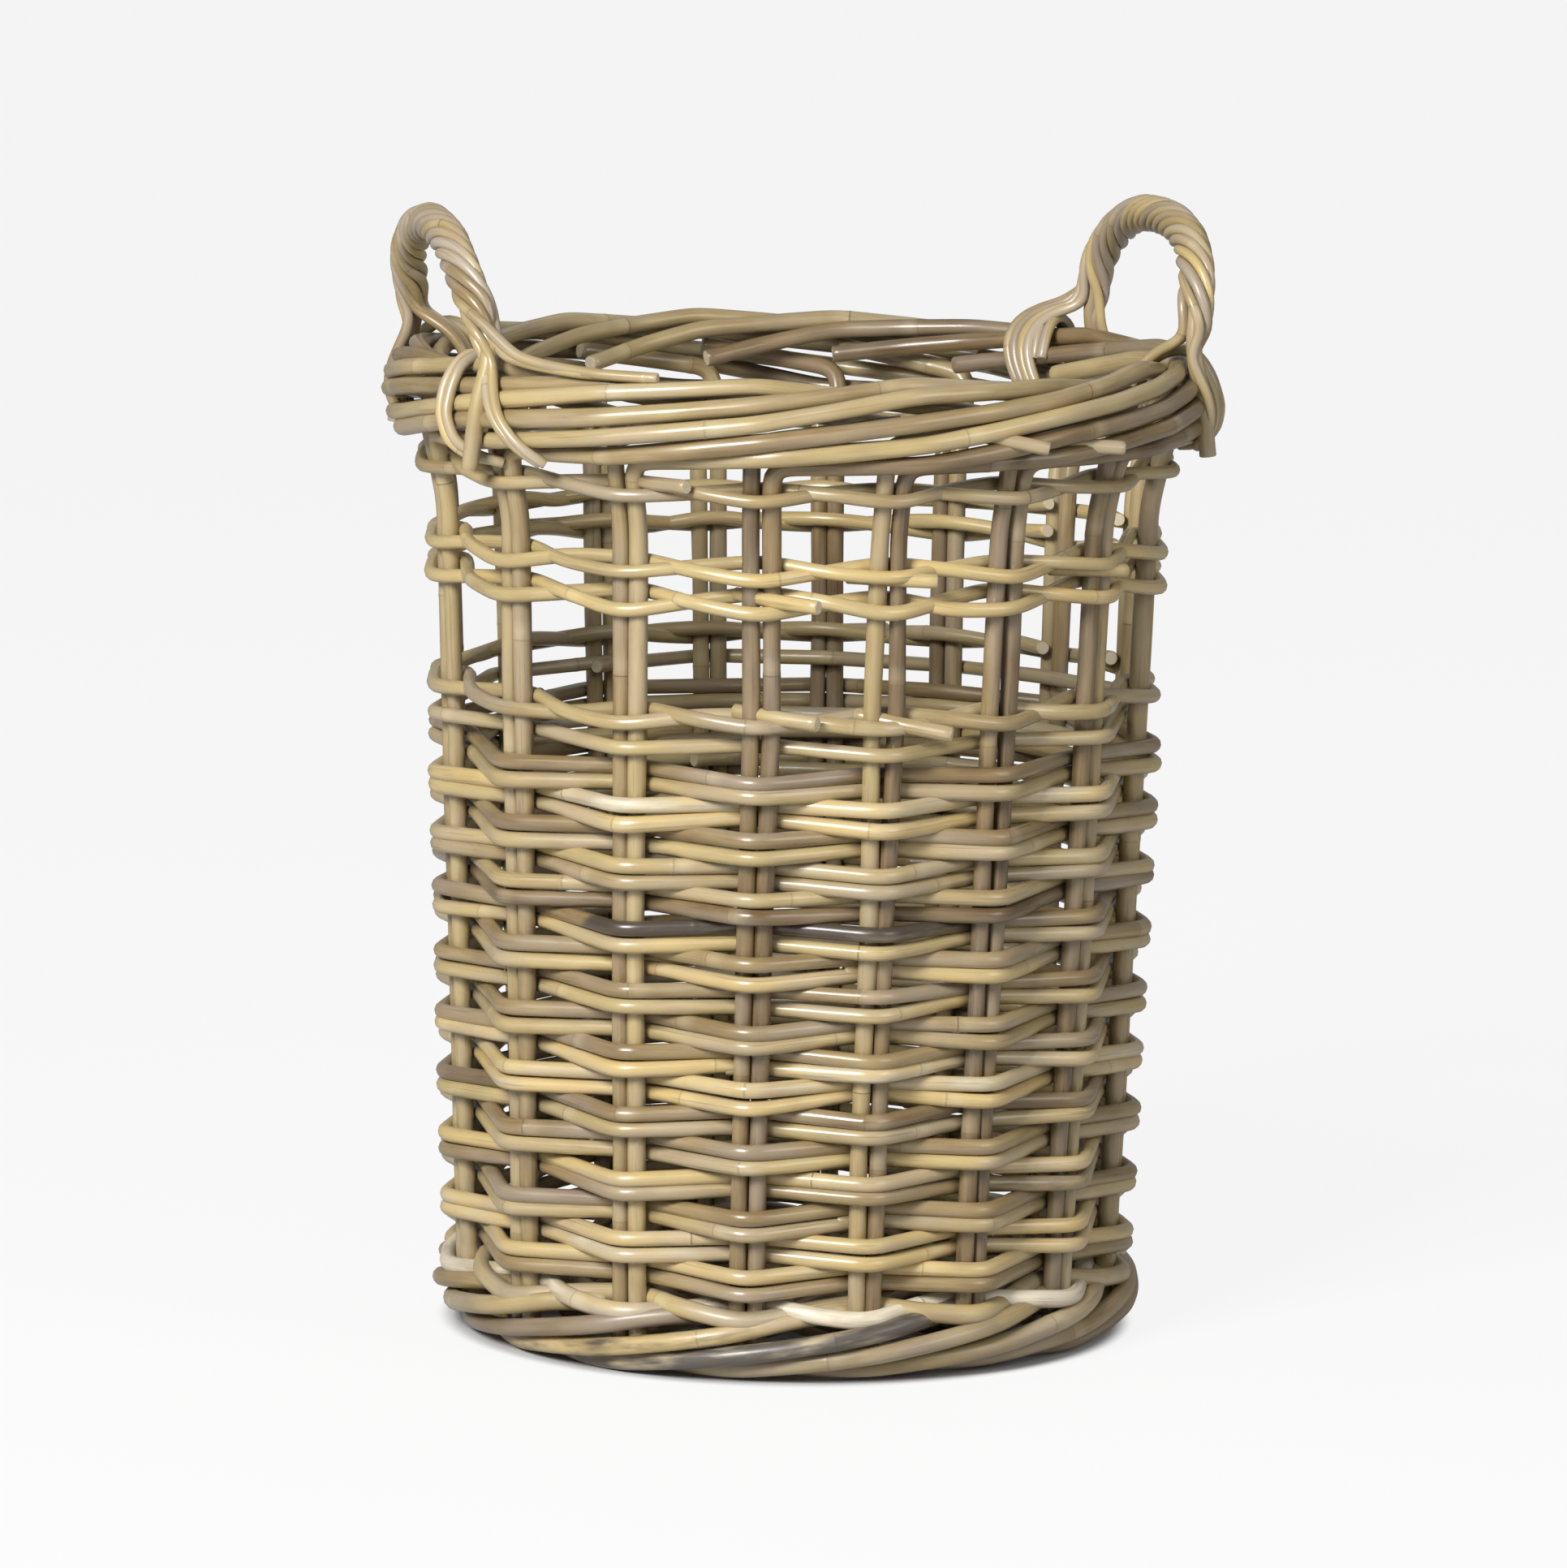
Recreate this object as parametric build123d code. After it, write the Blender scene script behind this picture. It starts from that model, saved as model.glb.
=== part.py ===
"""Round log basket of thick rattan rods.

Stakes stand in pairs, the sides are slewed with two open bands, and there are a rolled border and two ears.
Millimetres, +Z up. The origin is the middle of the circle that the foot stands on. The ears are on +X and -X.
Angles are degrees, anticlockwise from +X seen from above. Every rod is its own solid.
"""
from build123d import *
import os
from math import cos, degrees, radians, sin, sqrt, tan

# ---- driving dimensions ----
STAKE_PAIRS = 16
STAKE_D = 9.5
WEAVER_D = 8.0
FOOT_RADIUS = 175.0          # stake circle where it stands on the floor
FLARE = 16.5 / 450           # the sides lean out by this much for each mm of height
SPREAD_FROM = 448.0          # above here the stakes spread more, into the border
SPREAD = 0.19
STAKE_FOOT_Z = 17.0
LEADER_TURN_Z = 484.0        # a pair's leader turns into the border here, and the other rod above it
FOLLOWER_TURN_Z = 497.0
FIRST_ROW_Z = 55.0
ROW_PITCH = 16.45
ROWS = 17
SINGLE_ROW_Z = 336.0
TOP_PAIRING_Z = 351.0
MIDDLE_PAIRING_Z = 421.0
UPPER_PAIRING_Z = 470.0
UPSETT_Z = 37.0
STAKE_DRIFT = 3.5            # the stakes aren't evenly spaced: twice round, by this many degrees
STAKE_TWIST = 1.5            # and they lean round by this much at the top
EAR_LEG_RADIUS = 229.0       # the legs stand against the outside of the border
EAR_HALF_ANGLE = 27.0
EAR_CORD_D = 21.0            # the ear's roped handle, over its strands
EAR_CORE_D = 9.0
LASHING_D = 5.5
BASE_STICK_D = 10.0
BASE_WEAVER_D = 6.0
BASE_Z = 24.0
FOOT_ROD_D = 9.0
FOOT_RODS = 16

# ---- values worked out from them ----
PITCH = 360 / STAKE_PAIRS
CLEAR = 0.15                 # between rods that touch
HALF_PAIR = STAKE_D / 2 + CLEAR
INNER_BEND_R = 60.0
OUTER_BEND_R = 25.0
JOIN_GAP = 1.0               # where a ring's rod ends meet


def stake_circle(z):
    """Radius of the circle through the stakes' centres at height z."""
    return FOOT_RADIUS + FLARE * z + SPREAD * max(0, z - SPREAD_FROM)


def drift(i):
    """How far stake pair i stands from its even place."""
    return STAKE_DRIFT * cos(radians(2 * PITCH * i + 271))


def stake_angle(i, z):
    """Angle of the middle of stake pair i at height z."""
    return PITCH * i + drift(i) + STAKE_TWIST * z / FOLLOWER_TURN_Z


def polar(radius, angle, z):
    """A point from its distance to the axis, its angle in degrees and its height."""
    return Vector(radius * cos(radians(angle)), radius * sin(radians(angle)), z)


def bend_radii(points, largest):
    """For each corner: 0.45 of its shorter run over the tangent of half its turn, or largest if that is less."""
    radii = []
    for n, (before, here, after) in enumerate(zip(points, points[1:], points[2:])):
        run_in, run_out = here - before, after - here
        half_turn = radians(run_in.get_angle(run_out)) / 2
        room = 0.45 * min(run_in.length, run_out.length) / tan(half_turn)
        limit = largest[n % len(largest)]
        radii.append(min(room, limit))
    return radii


def rod(points, diameter, largest=(1e4,)):
    """A round rod along straight runs that join in arcs."""
    path = FilletPolyline(*points, radius=bend_radii(points, largest))
    section = Plane(origin=path @ 0, z_dir=path % 0) * Circle(diameter / 2)
    return sweep(section, path=path)


def roll_place(places, step):
    """(radius, height) after so many steps of a roll, on straight lines between its places."""
    whole = min(int(step), len(places) - 2)
    share = step - whole
    return [a + (b - a) * share for a, b in zip(places[whole], places[whole + 1])]


# ---- stakes, which turn over at the top to make the rolled border ----
# The border's section: (radius, height) of a rod's centre, one place for each pitch that the rod runs round.
LEADER_ROLL = [(214.5, 487), (219.3, 497), (219.3, 507.6), (215.5, 518), (206, 525), (195.5, 521.5),
               (188.2, 513.5), (190.3, 502)]
FOLLOWER_ROLL = [(207, 508.5)]
EVEN_AFTER = 3               # the border's rods are evenly spaced from this step on


def stake_rod(i, side, turn, roll):
    """A rod of pair i: up on its side of the pair to its turn, then round in the border by half pitches."""
    def beside(z):
        radius = stake_circle(z)
        shift = degrees(side * HALF_PAIR / radius)
        return polar(radius, stake_angle(i, z) + shift, z)

    places = [(stake_circle(turn), turn), *roll]
    start = stake_angle(i, turn) + degrees(side * HALF_PAIR / stake_circle(turn))

    def rolled(step):
        radius, z = roll_place(places, step)
        return polar(radius, start + PITCH * step - drift(i) * min(1, step / EVEN_AFTER), z)

    halves = [rolled(n / 2) for n in range(2 * len(roll) + 1)]
    return rod([beside(STAKE_FOOT_Z), beside(SPREAD_FROM), *halves], STAKE_D)


def stake_pair(i):
    """The leader makes the outside of the border. The follower turns above it and makes the core."""
    return [stake_rod(i, 1, LEADER_TURN_Z, LEADER_ROLL), stake_rod(i, -1, FOLLOWER_TURN_Z, FOLLOWER_ROLL)]


# ---- side weave ----
def ring_points(radial, z_at, first, z_mean):
    """Points once round from pair first: radial(i) and z_at(i) are a rod's offset and height at pair i."""
    shown = []
    for n in range(STAKE_PAIRS + 1):
        i = first + n
        gap = degrees(JOIN_GAP / 2 / stake_circle(z_mean))
        at_end = gap if n == 0 else -gap if n == STAKE_PAIRS else 0
        lap = 360 * (i // STAKE_PAIRS)
        angle = stake_angle(i % STAKE_PAIRS, z_mean) + lap + at_end
        shown.append(polar(stake_circle(z_mean) + radial(i), angle, z_at(i)))
    return shown


def slewed_ring(z, front_of, first, diameter=WEAVER_D):
    """A weaver that passes outside every second pair: the even ones if front_of is 0, else the odd ones."""
    touch = STAKE_D / 2 + diameter / 2

    def radial(i):
        return touch + 5.5 if i % 2 == front_of else -touch - 1.8

    points = ring_points(radial, lambda i: z, first, z)
    largest = (OUTER_BEND_R, INNER_BEND_R)
    return rod(points, diameter, largest)


def weave_row(k):
    """Row k of the slew: two weavers, one on the other."""
    z = FIRST_ROW_Z + ROW_PITCH * k
    front_of = (k + 1) % 2
    first = (front_of + 1) % 2 + 2 * (3 * k % 8)
    half = WEAVER_D / 2 + CLEAR / 2
    return [slewed_ring(z - half, front_of, first), slewed_ring(z + half, front_of, first + 6)]


def pairing_rod(z, front_of, diameter, swing, first):
    """One strand of a pairing row: it goes in behind a pair high, and comes out low, so two strands cross."""
    radius = stake_circle(z)
    touch = STAKE_D / 2 + diameter / 2
    points = []
    for n in range(2 * STAKE_PAIRS + 1):
        i = first + n // 2
        here = stake_angle(i % STAKE_PAIRS, z) + 360 * (i // STAKE_PAIRS)
        after = stake_angle((i + 1) % STAKE_PAIRS, z) + 360 * ((i + 1) // STAKE_PAIRS)
        outside = i % 2 == front_of
        if n % 2:
            points.append(polar(radius + 1, (here + after) / 2, z + (swing if outside else -swing)))
        else:
            gap = degrees(JOIN_GAP / 2 / radius) * ((n == 0) - (n == 2 * STAKE_PAIRS))
            points.append(polar(radius + (touch + 5.3 if outside else -touch - 2.9), here + gap, z))
    return rod(points, diameter, (40.0, OUTER_BEND_R, 40.0, INNER_BEND_R))


def pairing_row(z, diameter):
    swing = diameter / 2 + 0.6
    return [pairing_rod(z, side, diameter, swing, 1 - side) for side in (0, 1)]


# ---- base: eight sticks, four through four, opened out to the sixteen pairs ----
SLATH_HALF = 30.0            # half the length over which the sticks of a set lie side by side
BASE_FAN_FROM = 60.0         # from here out the sticks point away from the centre
BASE_EDGE = 163.0
BASE_RINGS = 9
BASE_RING_START = 73.0
BASE_RING_PITCH = 10.0
BASE_BEND_R = 8.0


def base_stick(which, across):
    """Stick which of four: parallel where they cross, then bent out to two stake pairs. across is 0 or 1."""
    lane = (which - 1.5) * (BASE_STICK_D + 1)
    quarter = 90 * across + PITCH / 2
    z = BASE_Z + (BASE_STICK_D / 2 + CLEAR) * (1 if across else -1)
    fan = (which - 1.5) * PITCH
    out = [(BASE_EDGE, fan, BASE_Z), (BASE_FAN_FROM, fan, BASE_Z)]
    ends = [polar(r, quarter + a, h) for r, a, h in out]
    middle = [Vector(SLATH_HALF, lane, z), Vector(-SLATH_HALF, lane, z)]
    middle = [Vector(p.X, p.Y, p.Z).rotate(Axis.Z, quarter) for p in middle]
    others = [polar(r, quarter + 180 - a, h) for r, a, h in reversed(out)]
    return rod([*ends, *middle, *others], BASE_STICK_D)


def base_ring(k):
    """A ring of the base weave: over one stick end and under the next."""
    radius = BASE_RING_START + BASE_RING_PITCH * k
    touch = BASE_STICK_D / 2 + BASE_WEAVER_D / 2 + 0.3
    lift = touch / sqrt(1 - (2 * touch / (radius * radians(PITCH))) ** 2) + 0.2
    points = []
    for n in range(STAKE_PAIRS + 1):
        gap = degrees(JOIN_GAP / 2 / radius) * ((n == 0) - (n == STAKE_PAIRS))
        up = 1 if (n + k) % 2 else -1
        points.append(polar(radius, PITCH * n + gap, BASE_Z + up * lift))
    return rod(points, BASE_WEAVER_D, (BASE_BEND_R,))


# ---- foot: rods rolled round the edge of the base ----
# The foot's section, from under the base to outside the stakes: one place for each rod's share of the circle.
FOOT_ROLL = [(160.5, 8.5), (171, 3), (179.8, 7.6), (185.6, 16), (186, 25.5)]


def foot_rod(n):
    share = 360 / FOOT_RODS
    steps = [third / 3 for third in range(3 * len(FOOT_ROLL) - 2)]
    places = [roll_place(FOOT_ROLL, step) for step in steps]
    return rod([polar(r, share * (n + step), z) for step, (r, z) in zip(steps, places)], FOOT_ROD_D)


def foot_rods(first):
    """Every second rod of the foot, worn flat where it stands."""
    floor = Pos(0, 0, -FOOT_ROD_D) * Cylinder(260, FOOT_ROD_D, align=(Align.CENTER, Align.CENTER, Align.MIN))
    return [foot_rod(n) - floor for n in range(first, FOOT_RODS, 2)]


# ---- ears ----
EARS = (("right", 0, 2.0), ("left", 180, 3.0))    # name, angle, how far the top leans in
EAR_FOOT_Z = 475.0
EAR_ROPING_Z = 538.0
# Half of the bow: (share of its half width, height, share of the lean).
EAR_SIDE = [(1.0, EAR_FOOT_Z, 0), (1.0, 540, 0), (0.92, 557, 0.6), (0.84, 576, 0.9), (0.52, 592, 1),
            (0.18, 596, 1)]
# The lashing's section round border and leg: (radius, height, share of the slant).
LASHING = [(178.5, 500, 0.35), (179.5, 521, 1), (190, 531, 1), (205, 534.5, 1), (231, 533.5, 1),
           (240.5, 520, 0.3), (239.5, 488, -0.3), (230, 462, -1.2), (208, 458, -1.6), (190, 458.5, -1.6),
           (178.5, 464, -0.9), (178.5, 498, 0.28)]
LASHING_SLANT = 3.75
LASHING_SPACING = 2.2


def ear_points(angle, lean):
    """The ear's bow: up from one leg, over, and down to the other."""
    half_width = EAR_LEG_RADIUS * sin(radians(EAR_HALF_ANGLE))
    reach = EAR_LEG_RADIUS * cos(radians(EAR_HALF_ANGLE))
    right = [Vector(reach - lean * share, half_width * w, z) for w, z, share in EAR_SIDE]
    left = [Vector(p.X, -p.Y, p.Z) for p in reversed(right)]
    return [p.rotate(Axis.Z, angle) for p in [*right, *left]]


def ear_bow(angle, lean):
    return [rod(ear_points(angle, lean), EAR_CORE_D)]


def ear_roping(angle, lean):
    """The strands twisted round the bow, as one sleeve that ends level above the border."""
    points = ear_points(angle, lean)
    below = Pos(0, 0, EAR_ROPING_Z) * Cylinder(300, 100, align=(Align.CENTER, Align.CENTER, Align.MAX))
    return [rod(points, EAR_CORD_D) - rod(points, EAR_CORE_D + 2 * CLEAR) - below]


def lashing_loop(angle):
    """A rod end that slants over a leg outside the border, goes under the border and up inside it."""
    return rod([polar(r, angle + slant * LASHING_SLANT, z) for r, z, slant in LASHING], LASHING_D)


def ear_lashing(angle):
    legs = [angle - EAR_HALF_ANGLE, angle + EAR_HALF_ANGLE]
    return [lashing_loop(leg + side * LASHING_SPACING / 2) for leg in legs for side in (-1, 1)]


def parts():
    """Every node's name and its solids."""
    made = {}
    for i in range(STAKE_PAIRS):
        made[f"stake_pair_{i + 1:02d}"] = stake_pair(i)
    for k in range(ROWS):
        made[f"weave_row_{k + 1:02d}"] = weave_row(k)
    made["weave_single_row"] = [slewed_ring(SINGLE_ROW_Z, 0, 5)]
    made["pairing_top_of_weave"] = pairing_row(TOP_PAIRING_Z, 8.0)
    made["pairing_middle_lower"] = pairing_row(MIDDLE_PAIRING_Z - 8.5, 7.2)
    made["pairing_middle_upper"] = pairing_row(MIDDLE_PAIRING_Z + 8.5, 7.2)
    made["pairing_under_border"] = pairing_row(UPPER_PAIRING_Z, 7.2)
    made["upsett_row"] = pairing_row(UPSETT_Z, 8.0)
    made["base_sticks_lower"] = [base_stick(n, 0) for n in range(4)]
    made["base_sticks_upper"] = [base_stick(n, 1) for n in range(4)]
    made["base_weave"] = [base_ring(k) for k in range(BASE_RINGS)]
    made["foot_border_a"] = foot_rods(0)
    made["foot_border_b"] = foot_rods(1)
    for name, angle, lean in EARS:
        made[f"ear_{name}_bow"] = ear_bow(angle, lean)
        made[f"ear_{name}_roping"] = ear_roping(angle, lean)
        made[f"ear_{name}_lashing"] = ear_lashing(angle)
    return made


os.makedirs("parts", exist_ok=True)
for node, solids in parts().items():
    flat = [s for made in solids for s in made.solids()]
    export_step(Compound(children=flat) if len(flat) > 1 else flat[0], f"parts/{node}.step")
print("wrote", len(os.listdir("parts")), "nodes")
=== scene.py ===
# %% [markdown]
# # A rattan log basket
# The basket is nothing but rods: thick ones that stand in pairs, thinner ones woven round them, a rolled
# border, a rolled foot and two roped ears. It could be a textured barrel, but then the light would never
# fall through the open bands. So every rod is its own tube, carried along a path that bends as the real rod
# bends.

# %% Load the frame
import bpy
import numpy as np
from mathutils import Matrix, Vector


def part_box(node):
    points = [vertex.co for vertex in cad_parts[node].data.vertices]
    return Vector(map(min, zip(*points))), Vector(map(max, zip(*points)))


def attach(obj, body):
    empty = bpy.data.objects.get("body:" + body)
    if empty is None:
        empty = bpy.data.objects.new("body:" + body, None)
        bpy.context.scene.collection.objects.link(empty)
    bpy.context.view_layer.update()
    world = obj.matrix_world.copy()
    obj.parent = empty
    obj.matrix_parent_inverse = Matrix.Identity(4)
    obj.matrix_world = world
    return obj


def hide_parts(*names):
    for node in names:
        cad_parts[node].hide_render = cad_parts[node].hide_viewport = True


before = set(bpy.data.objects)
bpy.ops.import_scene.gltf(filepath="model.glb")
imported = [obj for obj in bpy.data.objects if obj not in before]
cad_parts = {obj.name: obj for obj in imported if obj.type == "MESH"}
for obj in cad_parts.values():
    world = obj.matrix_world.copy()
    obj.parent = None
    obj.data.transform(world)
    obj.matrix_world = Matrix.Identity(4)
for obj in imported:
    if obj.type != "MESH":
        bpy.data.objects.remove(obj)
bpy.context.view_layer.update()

# %% [markdown]
# ## Camera
# The basket is seen from a little above its border, from far enough away that the two ears look alike. A
# long lens a few metres off does that. The basket leans a hair to one side in the view, which a small roll
# of the camera gives.

# %% Camera
VIEW_DISTANCE = 4.70
VIEW_HEIGHT = 0.973
VIEW_TURN = np.radians(-103.5)
VIEW_PITCH = np.radians(8.25)
VIEW_ROLL = np.radians(0.8)
VIEW_ASIDE = -0.0045
LENS = 202.2

across_view = Vector((-np.sin(VIEW_TURN), np.cos(VIEW_TURN), 0))
eye = Vector((np.cos(VIEW_TURN), np.sin(VIEW_TURN), 0)) * VIEW_DISTANCE + across_view * VIEW_ASIDE
eye.z = VIEW_HEIGHT
lens = bpy.data.cameras.new("camera")
lens.lens = LENS
lens.sensor_width = 36
camera = bpy.data.objects.new("camera", lens)
tilt = Matrix.Rotation(np.pi / 2 - VIEW_PITCH, 4, "X")
turn = Matrix.Rotation(VIEW_TURN + np.pi / 2, 4, "Z")
camera.matrix_world = Matrix.Translation(eye) @ turn @ tilt @ Matrix.Rotation(VIEW_ROLL, 4, "Z")
bpy.context.scene.collection.objects.link(camera)
bpy.context.scene.camera = camera
print("camera at", [round(v, 3) for v in eye])

# %% [markdown]
# ## The basket's own measures
# Heights come from the frame: a woven row is where its CAD rod is. What the frame can't say, such as how
# far a stake leans, is a short formula with the same values as the CAD model.

# %% Measures
MM = 0.001
STAKE_PAIRS = 16
PITCH = 360 / STAKE_PAIRS
STAKE_R = 4.75 * MM
WEAVER_R = 4.0 * MM
FOOT_CIRCLE = 175 * MM
FLARE = 16.5 / 450
SPREAD_FROM = 448 * MM
SPREAD = 0.19
TWIST_TO = 497 * MM
STAKE_DRIFT = 3.5
STAKE_TWIST = 1.5


def middle(node):
    """Height of the middle of a CAD node's box."""
    low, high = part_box(node)
    return (low.z + high.z) / 2


def stake_circle(z):
    """Radius of the circle through the stakes: a straight flare, and a steeper one above SPREAD_FROM."""
    return FOOT_CIRCLE + FLARE * z + SPREAD * np.maximum(0, z - SPREAD_FROM)


def drift(i):
    """Degrees by which pair i stands away from its even place: a wave that goes twice round."""
    return STAKE_DRIFT * np.cos(np.radians(2 * PITCH * i + 271))


def stake_angle(i, z):
    """Angle in degrees of pair i: even steps, plus its drift, plus a twist that grows with height."""
    return PITCH * i + drift(i) + STAKE_TWIST * z / TWIST_TO


def polar(radius, angle, z):
    """Points as rows of x, y, z from a radius, an angle in degrees and a height, each one or many."""
    radius, angle, z = np.broadcast_arrays(radius, np.radians(angle), z)
    return np.stack([radius * np.cos(angle), radius * np.sin(angle), z], axis=-1)


ROWS = sorted(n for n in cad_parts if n.startswith("weave_row"))
RIM_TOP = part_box("stake_pair_01")[1].z
print(len(ROWS), "rows from", round(middle(ROWS[0]), 4), "to", round(middle(ROWS[-1]), 4))
print("top of the border at", round(RIM_TOP, 4))

# %% [markdown]
# ## One rod
# A rod is a circle carried along a path. A rattan path is a chain of nearly straight runs that bend where
# the rod is pressed against a stake, so a path starts as corner points and is then averaged over a sliding
# window, which rounds each corner as the cane's stiffness would. Each rod also wanders a little, swells and
# thins, is slightly oval, and has the rings where its leaves once grew. The ends are cut square, with a
# worn edge.

# %% Paths
STEP = 3.5 * MM
SIDES = 12


def lengths(path):
    """Distance along the path to each of its points."""
    return np.concatenate([[0], np.cumsum(np.linalg.norm(np.diff(path, axis=0), axis=1))])


def resample(path, places):
    """The path's points at the given distances, by straight lines between its own."""
    along = lengths(path)
    return np.stack([np.interp(places, along, path[:, axis]) for axis in range(3)], axis=1)


def soften(corners, window):
    """A chain of straight runs averaged over a sliding window.

    The chain is turned about each end to go on past it, which holds the ends where they are.
    """
    fine = 1.5 * MM
    path = resample(np.asarray(corners, float), np.arange(0, lengths(corners)[-1], fine))
    half = max(2, int(window / fine / 2))
    before = 2 * path[0] - path[half:0:-1]
    after = 2 * path[-1] - path[-2:-half - 2:-1]
    weight = np.hanning(2 * half + 3)[1:-1]
    padded = np.concatenate([before, path, after])
    weight /= weight.sum()
    return np.stack([np.convolve(padded[:, axis], weight, "valid") for axis in range(3)], axis=1)


def wander(places, scale, rng):
    """Smooth noise between about -1 and 1: three sine waves of falling length with random starts."""
    waves = scale * np.array([1, 0.61, 0.37])
    starts = rng.uniform(0, 2 * np.pi, 3)
    heights = np.array([0.6, 0.3, 0.2])
    return (heights * np.sin(2 * np.pi * places[:, None] / waves + starts)).sum(axis=1)


def unit(vectors):
    return vectors / np.linalg.norm(vectors, axis=-1, keepdims=True)


# %% [markdown]
# ## A rod's surface
# Rings of points stand across the softened path, closer together at the cane's nodes, and a flat cap closes
# each end. Each point also carries its place in the grain, its tone and whether it is a cut face, because
# the finish needs them.

# %% Rods
NODE_SPACING = (0.12, 0.30)
RING_SHAPE = np.array([-4, -2.2, -1.1, -0.4, 0.4, 1.1, 2.2, 4]) * MM
RIDGE_WIDTH = 1.3 * MM
GROOVE_WIDTH = 0.55 * MM
SHOULDER_AT = 5 * MM
SHOULDER_WIDTH = 7 * MM
END_CLEAR = 8 * MM
BEVEL = 0.6 * MM
CAP_SHARE = 0.86


def rod(corners, radius, rng, window=0.03, across=None, tone=0.5, dark=0.0, ring_share=1.0):
    """One rod as arrays: rings of points round a softened path, and what the finish needs at each point.

    A ring's point is the path's point plus the local radius times (cos t of side plus sin t of up). The
    radius is the rod's own, times a slow swelling, a slight oval, and a raised ring at each node.
    """
    path = soften(corners, window)
    total = lengths(path)[-1]
    nodes = np.cumsum(rng.uniform(*NODE_SPACING, int(total / NODE_SPACING[0]) + 2)) - rng.uniform(0, 0.15)
    nodes = nodes[(nodes > END_CLEAR) & (nodes < total - END_CLEAR)]
    places = np.unique(np.concatenate([np.linspace(0, total, int(total / STEP) + 2)[1:-1],
                                       (nodes[:, None] + RING_SHAPE).ravel(), [0, total]]))
    places = places[np.concatenate([[True], np.diff(places) > 0.2 * MM])]
    centre = resample(path, places)
    tangent = unit(np.gradient(centre, places, axis=0))
    outward = centre * [1, 1, 0] if across is None else np.broadcast_to(across, centre.shape)
    side = unit(outward - (outward * tangent).sum(1, keepdims=True) * tangent)
    up = np.cross(tangent, side)
    off = places[:, None] - nodes if len(nodes) else np.full((len(places), 1), 1.0)
    ridge = np.exp(-(off / RIDGE_WIDTH) ** 2).max(axis=1)
    groove = np.exp(-(off / GROOVE_WIDTH) ** 2).max(axis=1)
    shoulder = np.clip(1 - np.abs(off - SHOULDER_AT) / SHOULDER_WIDTH, 0, 1).max(axis=1)
    swell = 1 + 0.035 * wander(places, 0.23, rng) + ring_share * (0.045 * ridge - 0.02 * groove)
    t = np.linspace(0, 2 * np.pi, SIDES, endpoint=False)
    oval = 1 + 0.03 * np.cos(2 * t + 3 * wander(places, 0.4, rng)[:, None])
    reach = radius * swell[:, None] * oval
    spoke = np.cos(t)[None, :, None] * side[:, None] + np.sin(t)[None, :, None] * up[:, None]
    ring = reach[..., None] * spoke
    points = [centre[:, None] + ring]
    grain_start = rng.uniform(0, 40)
    grain = np.stack([reach * np.cos(t), reach * np.sin(t),
                      np.broadcast_to(places[:, None] + grain_start, reach.shape)], axis=-1)
    facts = {"grain": [grain], "ring": [np.repeat(groove[:, None], SIDES, 1)],
             "shoulder": [np.repeat(shoulder[:, None], SIDES, 1)], "cut": [np.zeros(reach.shape)]}
    count = len(places)
    near = np.arange(count - 1)[:, None] * SIDES + np.arange(SIDES)
    turned = np.arange(count - 1)[:, None] * SIDES + np.roll(np.arange(SIDES), -1)
    quads = [np.stack([near, turned, turned + SIDES, near + SIDES], axis=-1).reshape(-1, 4)]
    used = count * SIDES
    triangles = []
    for end, facing in ((0, -1), (count - 1, 1)):
        bevel = BEVEL * facing * tangent[end]
        rim = centre[end] + CAP_SHARE * ring[end] + bevel
        disc = np.concatenate([rim, rim, [centre[end] + bevel]])
        around = np.arange(SIDES)
        following = np.roll(around, -1)
        first = end * SIDES
        edge = [first + around, first + following, used + following, used + around]
        fan = [used + SIDES + around, used + SIDES + following, np.full(SIDES, used + 2 * SIDES)]
        if facing < 0:
            edge.reverse()
            fan.reverse()
        quads.append(np.stack(edge, axis=-1))
        triangles.append(np.stack(fan, axis=-1))
        points.append(disc[None])
        cap = np.concatenate([CAP_SHARE * grain[end], CAP_SHARE * grain[end], [[0, 0, grain[end, 0, 2]]]])
        facts["grain"].append(cap[None])
        facts["ring"].append(np.zeros((1, len(disc))))
        facts["shoulder"].append(np.zeros((1, len(disc))))
        facts["cut"].append(np.concatenate([np.full(SIDES, 0.5), np.ones(SIDES + 1)])[None])
        used += len(disc)
    made = {name: np.concatenate([a.reshape(-1, 3) if name == "grain" else a.ravel() for a in arrays])
            for name, arrays in facts.items()}
    made["points"] = np.concatenate([a.reshape(-1, 3) for a in points])
    made["tone"] = np.full(used, tone)
    made["dark"] = np.full(used, dark)
    made["quads"] = np.concatenate(quads)
    made["triangles"] = np.concatenate(triangles)
    return made


def darkened(made, amount, centre, half):
    """The same rod with charcoal round an angle: amount, fading out over 6 degrees at half on each side."""
    azimuth = np.degrees(np.arctan2(made["points"][:, 1], made["points"][:, 0]))
    away = np.abs((azimuth - centre + 180) % 360 - 180)
    made["dark"] = made["dark"] + amount * np.clip((half - away) / 6 + 0.5, 0, 1)
    return made


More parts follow.
